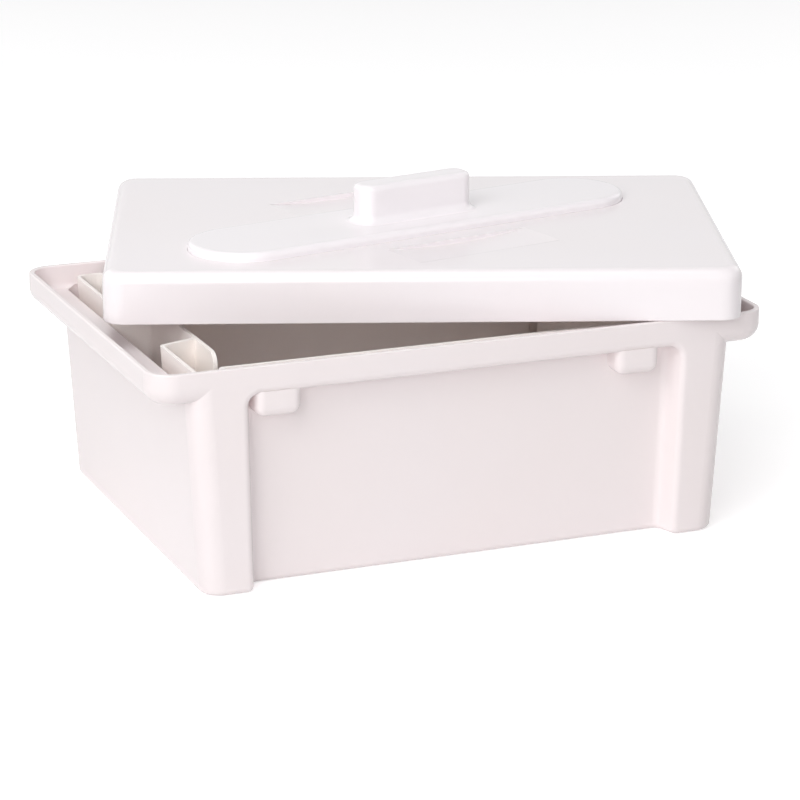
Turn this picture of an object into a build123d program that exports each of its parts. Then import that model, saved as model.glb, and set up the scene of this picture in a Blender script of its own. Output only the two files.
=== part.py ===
from build123d import *
import math
import os

# Instrument disinfection tray: a white moulded tub with a collar round its mouth, a perforated
# lift-out tray, and a skirted lid with a separate grip handle on its diagonal.
# Millimetres. X along the long side, Y from front to back, Z up.
# The origin is the centre of the tub's flat base.

# Tub body
height = 115.4
wall = 2.8
floor_thickness = 3.0
base_half_length = 139.5
top_half_length = 145.5
base_draft = 1.0
body_corner_radius = 11.0
base_rounding = 3.0
floor_fillet = 2.5

# Collar round the mouth, with the ledge inside it
collar_length = 330.0
collar_width = 221.0
collar_corner_radius = 14.0
collar_rounding = 8.5
rim_thickness = 3.0
rim_rounding = 0.8
ledge_depth = 12.2
ledge_thickness = 4.4
ledge_fillet = 2.5

# Recessed panel in each long side, between the corner pillars
base_pillar_width = 25.0
top_pillar_width = 28.5
panel_slope = 4.0
panel_depth = 12.5
panel_edge_radius = 3.5
panel_corner_radius = 6.0
panel_ceiling = 2.0

# Hollow pads under the panel's ceiling, two to a side and not quite in its middle
pad_length = 23.5
pad_height = 12.4
pad_spacing = 192.5
pad_offset = -4.2
pad_depth = 12.0
pad_wall = 2.8
pad_radius = 5.0
pad_edge_rounding = 4.4

# Lift-out tray
tray_drop = 5.0
tray_wall = 2.2
tray_floor = 2.4
tray_foot_height = 3.0
tray_foot_radius = 4.0
tray_end_clearance = 4.6
tray_side_clearance = 4.5
tray_pillar_clearance = 2.6
tray_outer_radius = 6.0
tray_edge_radius = 3.0
finger_gap_half_width = 34.5
finger_gap_depth = 13.7
finger_gap_flare = 4.8
fin_length = 31.0
fin_corner_radius = 6.5
drain_hole_radius = 3.0
drain_hole_pitch = 14.0
drain_margin = 9.0

# Lid
lid_clearance = 0.9
lid_height = 26.5
lid_wall = 2.5
roof_thickness = 3.0
lid_top_rounding = 6.0
skirt_edge_rounding = 0.6

# Finger wells in the lid, either side of the handle: shallow troughs, hollowed along the bar
well_length = 87.0
well_width = 31.5
well_depth = 2.6
well_margin = 12.9

# Handle on the lid's diagonal, a little off its centre
handle_angle = 31.2
handle_shift_along = -3.3
handle_shift_across = -2.0
bar_length = 264.8
bar_width = 58.0
bar_height = 4.6
bar_rounding = 2.8
grip_length = 69.0
grip_width = 16.5
grip_height = 20.0
grip_corner_radius = 7.0
grip_rounding = 3.0
grip_root_radius = 4.5
handle_wall = 2.4
seat_depth = 0.8
seam = 0.15
peg_radius = 2.5
peg_clearance = 0.1
peg_head_radius = 4.0
peg_head_height = 1.5
peg_inner_station = 48.0
peg_outer_station = 100.0

# Where the lid lies at rest: turned on the rim, as photographed
lid_turn = -19.9
lid_shift_x = 28.0
lid_shift_y = 31.0
seat_gap = 0.2

ledge_level = height - ledge_depth
collar_foot = ledge_level - ledge_thickness
flush_level = ledge_level + ledge_fillet
panel_top = ledge_level - panel_ceiling
body_half_width = collar_width / 2
lid_length = collar_length - 2 * (rim_thickness + lid_clearance)
lid_width = collar_width - 2 * (rim_thickness + lid_clearance)
lid_corner_radius = collar_corner_radius - rim_thickness - lid_clearance + 1.0


def body_half_length(z):
    """Half the body's outer length at a height, from its straight taper."""
    return base_half_length + (top_half_length - base_half_length) * z / collar_foot


def body_half_depth(z):
    """Half the body's outer width at a height: its front and back run up flush into the collar's."""
    return body_half_width - base_draft * (1 - min(z / flush_level, 1.0))


def panel_half_length(z):
    """Half the recessed panel's length at its mouth, between the corner pillars."""
    pillar = base_pillar_width + (top_pillar_width - base_pillar_width) * z / collar_foot
    return body_half_length(z) - pillar


def mirrored(quarter):
    """The closed outline whose first quadrant is the given corner points, counted from +X to +Y."""
    points = list(quarter)
    points += [(-x, y) for x, y in reversed(quarter)]
    points += [(-x, -y) for x, y in quarter]
    points += [(x, -y) for x, y in reversed(quarter)]
    return points


def rounded_outline(quarter, radii):
    """A face with the mirrored outline, each first-quadrant corner rounded by its own radius."""
    face = Polygon(*mirrored(quarter), align=None)
    for radius in sorted(set(radii)):
        wanted = [point for point, r in zip(quarter, radii) if r == radius]
        corners = face.vertices().filter_by(
            lambda v: any(math.dist((abs(v.X), abs(v.Y)), point) < 0.01 for point in wanted))
        face = fillet(corners, radius)
    return face


def block_outline(z):
    """The tub's outer outline at a height, before the panels are sunk into it."""
    return RectangleRounded(2 * body_half_length(z), 2 * body_half_depth(z), body_corner_radius)


def inner_outline(z):
    """The outline of the tub's inside at a height: four pillars and two recessed panels."""
    length = body_half_length(z) - wall
    width = body_half_depth(z) - wall
    mouth = panel_half_length(z) + wall
    foot = mouth - panel_slope
    quarter = [(length, width), (mouth, width), (foot, width - panel_depth)]
    radii = [body_corner_radius - wall, panel_edge_radius, panel_edge_radius]
    return rounded_outline(quarter, radii)


def between(low, high, face_at):
    """The straight-sided solid between the outlines at two heights."""
    return loft([Pos(0, 0, low) * face_at(low), Pos(0, 0, high) * face_at(high)], ruled=True)


def flat_sided(low, high, corners_at):
    """The solid with flat faces between the same corners at two heights."""
    bottom, top = [[(x, y, z) for x, y in corners_at(z)] for z in (low, high)]
    rings = [bottom, top]
    for i in range(len(bottom)):
        rings.append([bottom[i - 1], bottom[i], top[i], top[i - 1]])
    return Solid(Shell([Face(Wire.make_polygon(ring)) for ring in rings]))


def panel_space():
    """The space sunk into the tub's front: slanting sides, rounded upper corners and inner edges."""
    beyond = wall
    slant = panel_slope / panel_depth

    def corners_at(z):
        mouth = panel_half_length(z)
        front = body_half_depth(z)
        left = (-mouth - slant * beyond, -front - beyond)
        left_foot = (panel_slope - mouth, panel_depth - front)
        return [left, left_foot, (-left_foot[0], left_foot[1]), (-left[0], left[1])]

    space = flat_sided(-wall, panel_top, corners_at)
    corners = space.edges().filter_by(Axis.Y, tolerance=30).filter_by(lambda e: e.center().Z > panel_top - 0.1)
    space = fillet(corners, panel_corner_radius)
    back = space.faces().sort_by(Axis.Y)[-1]
    return fillet(back.edges().filter_by(lambda e: e.center().Z > 0), panel_edge_radius)


def pad(sign_x, sign_y, inset, low, high):
    """One pad under the panel's ceiling, or its hollow when moved inwards by inset."""
    middle = pad_offset + sign_x * pad_spacing / 2
    panel_face = body_half_width - panel_depth
    drop = high - low
    face = RectangleRounded(pad_length - 2 * inset, 2 * drop, pad_radius - inset)
    face &= Pos(0, -drop / 2) * Rectangle(pad_length, drop)
    block = extrude(Plane.XZ * face, amount=pad_depth - inset + 2 * wall)
    if inset == 0:
        front = block.faces().sort_by(Axis.Y)[0]
        block = fillet(front.edges().filter_by(lambda e: e.center().Z < -0.01), pad_edge_rounding)
    block = Pos(middle, 2 * wall - panel_face, high) * block
    if sign_y > 0:
        block = block.mirror(Plane.XZ)
    return block


def collar_block():
    """The solid that the collar is cut from, with its rounded underside."""
    face = RectangleRounded(collar_length, collar_width, collar_corner_radius)
    block = Pos(0, 0, collar_foot) * extrude(face, amount=height - collar_foot)
    return fillet(block.edges().group_by(Axis.Z)[0], collar_rounding)


def collar_hollow():
    """The space inside the collar, above the ledge."""
    inner_radius = collar_corner_radius - rim_thickness
    face = RectangleRounded(collar_length - 2 * rim_thickness, collar_width - 2 * rim_thickness, inner_radius)
    space = Pos(0, 0, ledge_level) * extrude(face, amount=ledge_depth + 1)
    return fillet(space.edges().group_by(Axis.Z)[0], ledge_fillet)


def on_mouth(edge):
    """Whether an edge lies on the front or back face, round a panel's mouth."""
    middle = edge.center()
    on_face = abs(abs(middle.Y) - body_half_depth(middle.Z)) < 0.1
    return on_face and 0.1 < middle.Z < panel_top + 0.1 and abs(middle.X) < panel_half_length(middle.Z) + 0.1


def make_tub():
    upper = (flush_level + height) / 2
    tub = between(0, flush_level, block_outline) + between(flush_level, upper, block_outline)
    tub += collar_block()
    space = panel_space()
    tub -= [space, space.mirror(Plane.XZ)]
    tub = fillet(tub.edges().filter_by(on_mouth), panel_edge_radius)
    tub = fillet(tub.edges().group_by(Axis.Z)[0], base_rounding)
    pad_foot = panel_top - pad_height
    sides = [(x, y) for x in (-1, 1) for y in (-1, 1)]
    for x, y in sides:
        tub += pad(x, y, 0, pad_foot, panel_top + panel_ceiling / 2)
    inside = between(floor_thickness, ledge_level + 1, inner_outline)
    inside = fillet(inside.edges().group_by(Axis.Z)[0], floor_fillet)
    tub -= inside
    for x, y in sides:
        tub -= pad(x, y, pad_wall, pad_foot + pad_wall, flush_level)
    tub -= collar_hollow()
    rim = tub.edges().group_by(Axis.Z)[-1]
    return fillet(rim, rim_rounding)


def tray_sizes(z):
    """Half sizes of the tray's outline at a height, inside the tub: ears, long walls and pillar step."""
    ear_length = body_half_length(z) - wall - tray_end_clearance
    ear_width = body_half_depth(z) - wall - tray_side_clearance
    main_width = ear_width - panel_depth
    step = panel_half_length(z) + wall + tray_pillar_clearance
    return ear_length, ear_width, main_width, step


tray_base = floor_thickness + seat_gap + tray_foot_height
tray_top = height - tray_drop
# The end walls are upright, so the shorter of the ears' two ends sets where they stand.
tray_end = min(tray_sizes(tray_base)[0], tray_sizes(tray_top)[0]) - finger_gap_depth


def tray_outline(z, inset):
    """The tray's outline at a height: a basket with an ear at each corner, moved inwards by inset."""
    ear_length, ear_width, main_width, step = tray_sizes(z)
    slant = finger_gap_flare / finger_gap_depth

    def gap_side(x):
        return finger_gap_half_width + slant * (x - tray_end) + inset * math.hypot(1, slant)

    quarter = [
        (tray_end - inset, gap_side(tray_end - inset)),
        (ear_length - inset, gap_side(ear_length - inset)),
        (ear_length - inset, ear_width - inset),
        (step + inset, ear_width - inset),
        (step + inset, main_width - inset),
    ]
    outer = tray_outer_radius - inset
    radii = [tray_edge_radius, tray_edge_radius, outer, tray_edge_radius, tray_edge_radius]
    return rounded_outline(quarter, radii)


def tray_fin(sign_x, sign_y):
    """The end wall's free wing, which runs on past the finger gap with a rounded top corner."""
    start = finger_gap_half_width
    face = Polygon(
        (start, tray_base + tray_floor / 2),
        (start + fin_length, tray_base + tray_floor / 2),
        (start + fin_length, tray_top),
        (start, tray_top),
        align=None,
    )
    corner = face.vertices().filter_by(lambda v: v.X > start + 1 and v.Y > tray_top - 1)
    face = fillet(corner, fin_corner_radius)
    fin = extrude(Plane.YZ * face, amount=tray_wall)
    fin = Pos(tray_end - tray_wall, 0, 0) * fin
    if sign_x < 0:
        fin = fin.mirror(Plane.YZ)
    if sign_y < 0:
        fin = fin.mirror(Plane.XZ)
    return fin


def drain_holes():
    """Rows of round holes through the tray's floor."""
    main_width = tray_sizes(tray_base)[2]
    half_x = tray_end - drain_margin
    half_y = main_width - drain_margin
    count_x = 2 * int(half_x / drain_hole_pitch) + 1
    count_y = 2 * int(half_y / drain_hole_pitch) + 1
    drill = Cylinder(drain_hole_radius, 4 * tray_floor)
    grid = GridLocations(drain_hole_pitch, drain_hole_pitch, count_x, count_y)
    return [Pos(0, 0, tray_base) * place * drill for place in grid]


def make_tray():
    tray = between(tray_base, tray_top, lambda z: tray_outline(z, 0))
    tray -= between(tray_base + tray_floor, tray_top + 0.01, lambda z: tray_outline(z, tray_wall))
    for x in (-1, 1):
        for y in (-1, 1):
            tray += tray_fin(x, y)
    tray -= drain_holes()
    foot = Cylinder(tray_foot_radius, tray_foot_height + tray_floor / 2, align=(Align.CENTER, Align.CENTER, Align.MIN))
    reach_x = tray_end - drain_margin - drain_hole_pitch / 2
    reach_y = tray_sizes(tray_base)[2] - drain_margin + drain_hole_pitch / 4
    for x in (-1, 1):
        for y in (-1, 1):
            tray += Pos(x * reach_x, y * reach_y, tray_base - tray_foot_height) * foot
    return tray


def by_handle(shape):
    """Moves a shape from the handle's own frame, its bar along X, to its place on the lid."""
    return Rot(0, 0, handle_angle) * Pos(handle_shift_along, handle_shift_across, 0) * shape


def well(side, grow):
    """One finger well beside the handle, cut from the lid's top; grow makes the skin under it."""
    z_top = lid_height - roof_thickness if grow else lid_height
    width = well_width + 2 * grow
    middle = bar_width / 2 + seam + well_margin + well_width / 2
    half = well_length / 2 + grow
    radius = (half ** 2 + well_depth ** 2) / (2 * well_depth)
    drum = Cylinder(radius, width, rotation=(90, 0, 0))
    return by_handle(Pos(0, side * middle, z_top + radius - well_depth) * drum)


def peg_places():
    """Stations of the handle's pegs along the bar."""
    stations = [peg_inner_station, peg_outer_station]
    return [Pos(s, 0, 0) for s in [-x for x in stations] + stations]


def place_lid(shape):
    """Moves a shape from the lid's own frame to where the lid lies at rest."""
    return Pos(lid_shift_x, lid_shift_y, height + seat_gap) * Rot(0, 0, lid_turn) * shape


def make_lid():
    lid = extrude(RectangleRounded(lid_length, lid_width, lid_corner_radius), amount=lid_height)
    lid = fillet(lid.edges().group_by(Axis.Z)[-1], lid_top_rounding)
    hollow_face = RectangleRounded(lid_length - 2 * lid_wall, lid_width - 2 * lid_wall, lid_corner_radius - lid_wall)
    hollow = extrude(hollow_face, amount=lid_height - roof_thickness)
    hollow = fillet(hollow.edges().group_by(Axis.Z)[-1], lid_top_rounding - roof_thickness)
    for side in (-1, 1):
        lid -= well(side, 0)
        hollow -= well(side, lid_wall / 2)
    lid -= hollow
    seat = SlotOverall(bar_length + 2 * seam, bar_width + 2 * seam)
    lid -= by_handle(Pos(0, 0, lid_height - seat_depth) * extrude(seat, amount=2 * seat_depth))
    hole = Pos(0, 0, lid_height) * Cylinder(peg_radius + peg_clearance, 4 * roof_thickness)
    for place in peg_places():
        lid -= by_handle(place * hole)
    lid = fillet(lid.edges().group_by(Axis.Z)[0], skirt_edge_rounding)
    return place_lid(lid)


def make_handle():
    foot = lid_height - seat_depth
    bar_top = lid_height + bar_height
    grip_top = bar_top + grip_height
    bar = Pos(0, 0, foot) * extrude(SlotOverall(bar_length, bar_width), amount=bar_top - foot)
    bar = fillet(bar.edges().group_by(Axis.Z)[-1], bar_rounding)
    grip_face = RectangleRounded(grip_length, grip_width, grip_corner_radius)
    grip = Pos(0, 0, foot) * extrude(grip_face, amount=grip_top - foot)
    grip = fillet(grip.edges().group_by(Axis.Z)[-1], grip_rounding)
    handle = bar + grip
    root = handle.edges().filter_by(
        lambda e: abs(e.center().Z - bar_top) < 0.01 and abs(e.center().X) <= grip_length / 2 + 0.01
        and abs(e.center().Y) <= grip_width / 2 + 0.01)
    handle = fillet(root, grip_root_radius)
    handle -= Pos(0, 0, foot) * extrude(
        SlotOverall(bar_length - 2 * handle_wall, bar_width - 2 * handle_wall), amount=bar_top - foot - handle_wall)
    inner_face = RectangleRounded(
        grip_length - 2 * handle_wall, grip_width - 2 * handle_wall, grip_corner_radius - handle_wall)
    handle -= Pos(0, 0, foot) * extrude(inner_face, amount=grip_top - foot - handle_wall)
    peg_foot = lid_height - roof_thickness - peg_head_height
    peg = Cylinder(peg_radius, bar_top - handle_wall / 2 - peg_foot, align=(Align.CENTER, Align.CENTER, Align.MIN))
    head = Cylinder(peg_head_radius, peg_head_height, align=(Align.CENTER, Align.CENTER, Align.MIN))
    for place in peg_places():
        handle += place * Pos(0, 0, peg_foot) * (peg + head)
    return place_lid(by_handle(handle))


os.makedirs("parts", exist_ok=True)
export_step(make_tub(), "parts/tub.step")
export_step(make_tray(), "parts/instrument_tray.step")
export_step(make_lid(), "parts/lid.step")
export_step(make_handle(), "parts/lid_handle.step")
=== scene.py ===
import math

import bpy
from mathutils import Matrix, Vector

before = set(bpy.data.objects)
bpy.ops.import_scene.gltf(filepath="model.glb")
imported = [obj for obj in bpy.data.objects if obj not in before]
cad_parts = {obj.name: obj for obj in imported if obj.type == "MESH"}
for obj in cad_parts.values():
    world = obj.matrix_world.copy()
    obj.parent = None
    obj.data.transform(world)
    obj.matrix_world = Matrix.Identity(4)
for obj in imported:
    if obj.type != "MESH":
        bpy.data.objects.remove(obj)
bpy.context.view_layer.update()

# Colours of the moulded plastics, as linear values
SHELL = (0.880, 0.812, 0.818)
COVER = (0.935, 0.885, 0.905)
GRIP = (0.950, 0.912, 0.938)
INNER = (0.955, 0.908, 0.878)

# What all the plastics share: scales in waves a metre, heights and radii in metres
PLASTIC_IOR = 1.49
NOISE_ROUGHNESS = 0.55
DRIFT_SCALE = 9.0
DRIFT_TINT = (1.000, 0.992, 0.985)
SPECK_SCALE = 900.0
SPECK_TINT = 0.990
SPECK_COVER = 0.4
ARRIS_RADIUS = 0.00045
ARRIS_TINT = 1.03
ARRIS_COVER = 0.5
BRIGHTEST = 0.97
CLOUD_SCALE = 22.0
DULLEST = 1.08
SHINIEST = 0.94
WAVE_SCALE = 14.0
WAVE_HEIGHT = 0.00025
WAVE_STRENGTH = 0.08
SKIN_SCALE = 1500.0
SKIN_HEIGHT = 0.000004
SKIN_STRENGTH = 0.4

# Floor and surrounding light
FLOOR_HALF_SIDE = 14.0
FLOOR_GAP = 0.0002
PAPER = (0.86, 0.855, 0.86, 1.0)
FLOOR_GLOW = 0.46
WHITE = (1.0, 1.0, 1.0, 1.0)
SURROUNDING_LIGHT = 0.22
BACKDROP = 1.0

# Lamps: name, place, width, depth and power, all aimed at the middle of the tub
LAMP_AIM = (0.0, 0.0, 0.09)
LAMPS = [
    ("key", (-1.20, -1.20, 1.70), 1.5, 1.1, 11.6),
    ("key_left", (-1.68, -0.97, 1.11), 1.2, 1.0, 10.5),
    ("front_left", (-1.43, -2.47, 1.01), 1.6, 0.9, 24.5),
    ("overhead", (-0.30, -0.10, 1.80), 1.6, 1.4, 9.0),
    ("right_fill", (1.80, -1.00, 0.90), 1.0, 1.0, 3.0),
    ("rear_left", (-0.75, 1.90, 1.01), 1.2, 1.0, 5.0),
    ("rear_right", (1.81, 0.84, 1.01), 1.2, 1.0, 5.0),
]

# The photograph's camera, fitted to the corners of the tub and the lid
PHOTO_PIXELS = 800
FOCAL_PIXELS = 3252.64
CAMERA_YAW = 22.34
CAMERA_PITCH = 17.09
CAMERA_ROLL = -0.23
CAMERA_PLACE = (-0.6163, -1.5173, 0.5580)
SENSOR_WIDTH = 36.0

LIGHT_BOUNCES = 10


def node(tree, kind, **settings):
    made = tree.nodes.new(kind)
    for key, value in settings.items():
        setattr(made, key, value)
    return made


def noise(tree, scale, detail, offset):
    """Soft noise over the piece's own coordinates; scale is in waves a metre."""
    place = node(tree, "ShaderNodeTexCoord")
    shift = node(tree, "ShaderNodeVectorMath", operation="ADD")
    shift.inputs[1].default_value = offset
    tree.links.new(place.outputs["Object"], shift.inputs[0])
    made = node(tree, "ShaderNodeTexNoise")
    made.inputs["Scale"].default_value = scale
    made.inputs["Detail"].default_value = detail
    made.inputs["Roughness"].default_value = NOISE_ROUGHNESS
    tree.links.new(shift.outputs[0], made.inputs["Vector"])
    return made.outputs["Fac"]


def ranged(tree, value, low, high, start, end):
    """The value from low to high, carried to start to end."""
    made = node(tree, "ShaderNodeMapRange")
    made.inputs["From Min"].default_value = low
    made.inputs["From Max"].default_value = high
    made.inputs["To Min"].default_value = start
    made.inputs["To Max"].default_value = end
    tree.links.new(value, made.inputs["Value"])
    return made.outputs["Result"]


def mixed(tree, share, first, second):
    """The first colour, with the second laid over it by its share."""
    made = node(tree, "ShaderNodeMix", data_type="RGBA")
    tree.links.new(share, made.inputs["Factor"])
    for socket, value in ((made.inputs["A"], first), (made.inputs["B"], second)):
        if isinstance(value, tuple):
            socket.default_value = (*value, 1.0)
        else:
            tree.links.new(value, socket)
    return made.outputs["Result"]


def bumped(tree, height, distance, strength, under):
    """The normal under it, with the height laid over as relief."""
    made = node(tree, "ShaderNodeBump")
    made.inputs["Distance"].default_value = distance
    made.inputs["Strength"].default_value = strength
    tree.links.new(height, made.inputs["Height"])
    tree.links.new(under, made.inputs["Normal"])
    return made.outputs["Normal"]


def shaded_colour(tree, colour, offset, soft_edge):
    """The colour with a faint drift, fine darker specks and slightly lighter arrises."""
    drift = noise(tree, DRIFT_SCALE, 2.0, offset)
    warmer = tuple(part * tint for part, tint in zip(colour, DRIFT_TINT))
    base = mixed(tree, ranged(tree, drift, 0.35, 0.70, 0.0, 1.0), colour, warmer)
    speck = noise(tree, SPECK_SCALE, 2.0, offset)
    darker = tuple(part * SPECK_TINT for part in colour)
    base = mixed(tree, ranged(tree, speck, 0.60, 0.80, 0.0, SPECK_COVER), base, darker)

    geometry = node(tree, "ShaderNodeNewGeometry")
    turn = node(tree, "ShaderNodeVectorMath", operation="DOT_PRODUCT")
    tree.links.new(soft_edge, turn.inputs[0])
    tree.links.new(geometry.outputs["Normal"], turn.inputs[1])
    arris = ranged(tree, turn.outputs["Value"], 0.995, 0.90, 0.0, ARRIS_COVER)
    lighter = tuple(min(BRIGHTEST, part * ARRIS_TINT) for part in colour)
    return mixed(tree, arris, base, lighter)


def plastic(name, colour, roughness, offset):
    """Moulded plastic: a varied colour, clouded shine, soft arrises and a soft moulded skin."""
    material = bpy.data.materials.new(name)
    material.use_nodes = True
    tree = material.node_tree
    tree.nodes.clear()
    shader = node(tree, "ShaderNodeBsdfPrincipled")
    output = node(tree, "ShaderNodeOutputMaterial")
    tree.links.new(shader.outputs[0], output.inputs["Surface"])
    shader.inputs["IOR"].default_value = PLASTIC_IOR

    bevel = node(tree, "ShaderNodeBevel", samples=8)
    bevel.inputs["Radius"].default_value = ARRIS_RADIUS
    soft_edge = bevel.outputs[0]
    base = shaded_colour(tree, colour, offset, soft_edge)
    tree.links.new(base, shader.inputs["Base Color"])

    cloud = noise(tree, CLOUD_SCALE, 3.0, offset)
    shine = ranged(tree, cloud, 0.30, 0.75, roughness * SHINIEST, roughness * DULLEST)
    tree.links.new(shine, shader.inputs["Roughness"])

    wave = noise(tree, WAVE_SCALE, 1.0, offset)
    skin = noise(tree, SKIN_SCALE, 2.0, offset)
    normal = bumped(tree, wave, WAVE_HEIGHT, WAVE_STRENGTH, soft_edge)
    normal = bumped(tree, skin, SKIN_HEIGHT, SKIN_STRENGTH, normal)
    tree.links.new(normal, shader.inputs["Normal"])
    return material


def dress(name, material):
    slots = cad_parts[name].material_slots
    for place in slots:
        place.material = material
    if not slots:
        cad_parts[name].data.materials.append(material)


def strength_by_ray(tree, lighting, seen):
    """One strength for light on a surface, another for the camera, a reflection or a clear body."""
    rays = node(tree, "ShaderNodeLightPath")
    direct = rays.outputs["Is Camera Ray"]
    for name in ("Is Glossy Ray", "Is Transmission Ray"):
        either = node(tree, "ShaderNodeMath", operation="MAXIMUM")
        tree.links.new(direct, either.inputs[0])
        tree.links.new(rays.outputs[name], either.inputs[1])
        direct = either.outputs[0]
    return ranged(tree, direct, 0.0, 1.0, lighting, seen)


def floor_paper():
    """White paper that keeps the object's shadow and looks as white as the backdrop."""
    material = bpy.data.materials.new("floor_paper")
    material.use_nodes = True
    tree = material.node_tree
    tree.nodes.clear()
    paper = node(tree, "ShaderNodeBsdfDiffuse")
    paper.inputs["Color"].default_value = PAPER
    glow = node(tree, "ShaderNodeEmission")
    tree.links.new(strength_by_ray(tree, 0.0, FLOOR_GLOW), glow.inputs["Strength"])
    both = node(tree, "ShaderNodeAddShader")
    output = node(tree, "ShaderNodeOutputMaterial")
    tree.links.new(paper.outputs[0], both.inputs[0])
    tree.links.new(glow.outputs[0], both.inputs[1])
    tree.links.new(both.outputs[0], output.inputs["Surface"])
    return material


def make_floor():
    side = FLOOR_HALF_SIDE
    corners = [(-side, -side, 0), (side, -side, 0), (side, side, 0), (-side, side, 0)]
    mesh = bpy.data.meshes.new("floor")
    mesh.from_pydata(corners, [], [(0, 1, 2, 3)])
    mesh.materials.append(floor_paper())
    floor = bpy.data.objects.new("floor", mesh)
    floor.location.z = -FLOOR_GAP
    bpy.context.scene.collection.objects.link(floor)


def make_world():
    world = bpy.data.worlds.new("studio")
    bpy.context.scene.world = world
    world.use_nodes = True
    tree = world.node_tree
    tree.nodes.clear()
    back = node(tree, "ShaderNodeBackground")
    back.inputs["Color"].default_value = WHITE
    output = node(tree, "ShaderNodeOutputWorld")
    tree.links.new(strength_by_ray(tree, SURROUNDING_LIGHT, BACKDROP), back.inputs["Strength"])
    tree.links.new(back.outputs[0], output.inputs["Surface"])


def softbox(name, place, width, depth, power):
    lamp = bpy.data.lights.new(name, "AREA")
    lamp.shape = "RECTANGLE"
    lamp.size = width
    lamp.size_y = depth
    lamp.energy = power
    holder = bpy.data.objects.new(name, lamp)
    holder.location = place
    holder.rotation_euler = (Vector(LAMP_AIM) - Vector(place)).to_track_quat("-Z", "Y").to_euler()
    bpy.context.scene.collection.objects.link(holder)


def make_camera():
    """The photograph's camera: yaw from +Y towards +X, pitch downwards, roll about the view."""
    yaw, pitch, roll = (math.radians(angle) for angle in (CAMERA_YAW, CAMERA_PITCH, CAMERA_ROLL))
    ahead = Vector((math.sin(yaw) * math.cos(pitch), math.cos(yaw) * math.cos(pitch), -math.sin(pitch)))
    level = Vector((math.cos(yaw), -math.sin(yaw), 0.0))
    down = ahead.cross(level)
    right = math.cos(roll) * level + math.sin(roll) * down
    below = math.cos(roll) * down - math.sin(roll) * level
    camera = bpy.data.cameras.new("camera")
    camera.sensor_width = SENSOR_WIDTH
    camera.lens = FOCAL_PIXELS / PHOTO_PIXELS * SENSOR_WIDTH
    camera.clip_start = 0.05
    camera.clip_end = 60.0
    holder = bpy.data.objects.new("camera", camera)
    turn = Matrix((right, -below, -ahead)).transposed().to_4x4()
    holder.matrix_world = Matrix.Translation(CAMERA_PLACE) @ turn
    bpy.context.scene.collection.objects.link(holder)
    bpy.context.scene.camera = holder


dress("tub", plastic("shell_plastic", SHELL, 0.22, (0.0, 0.0, 0.0)))
dress("instrument_tray", plastic("tray_plastic", INNER, 0.36, (3.1, 1.7, 0.4)))
dress("lid", plastic("lid_plastic", COVER, 0.16, (7.3, 2.9, 5.2)))
dress("lid_handle", plastic("handle_plastic", GRIP, 0.14, (1.9, 8.4, 3.3)))

make_floor()
make_world()
for lamp in LAMPS:
    softbox(*lamp)
make_camera()

scene = bpy.context.scene
scene.view_settings.view_transform = "Standard"
scene.cycles.diffuse_bounces = LIGHT_BOUNCES
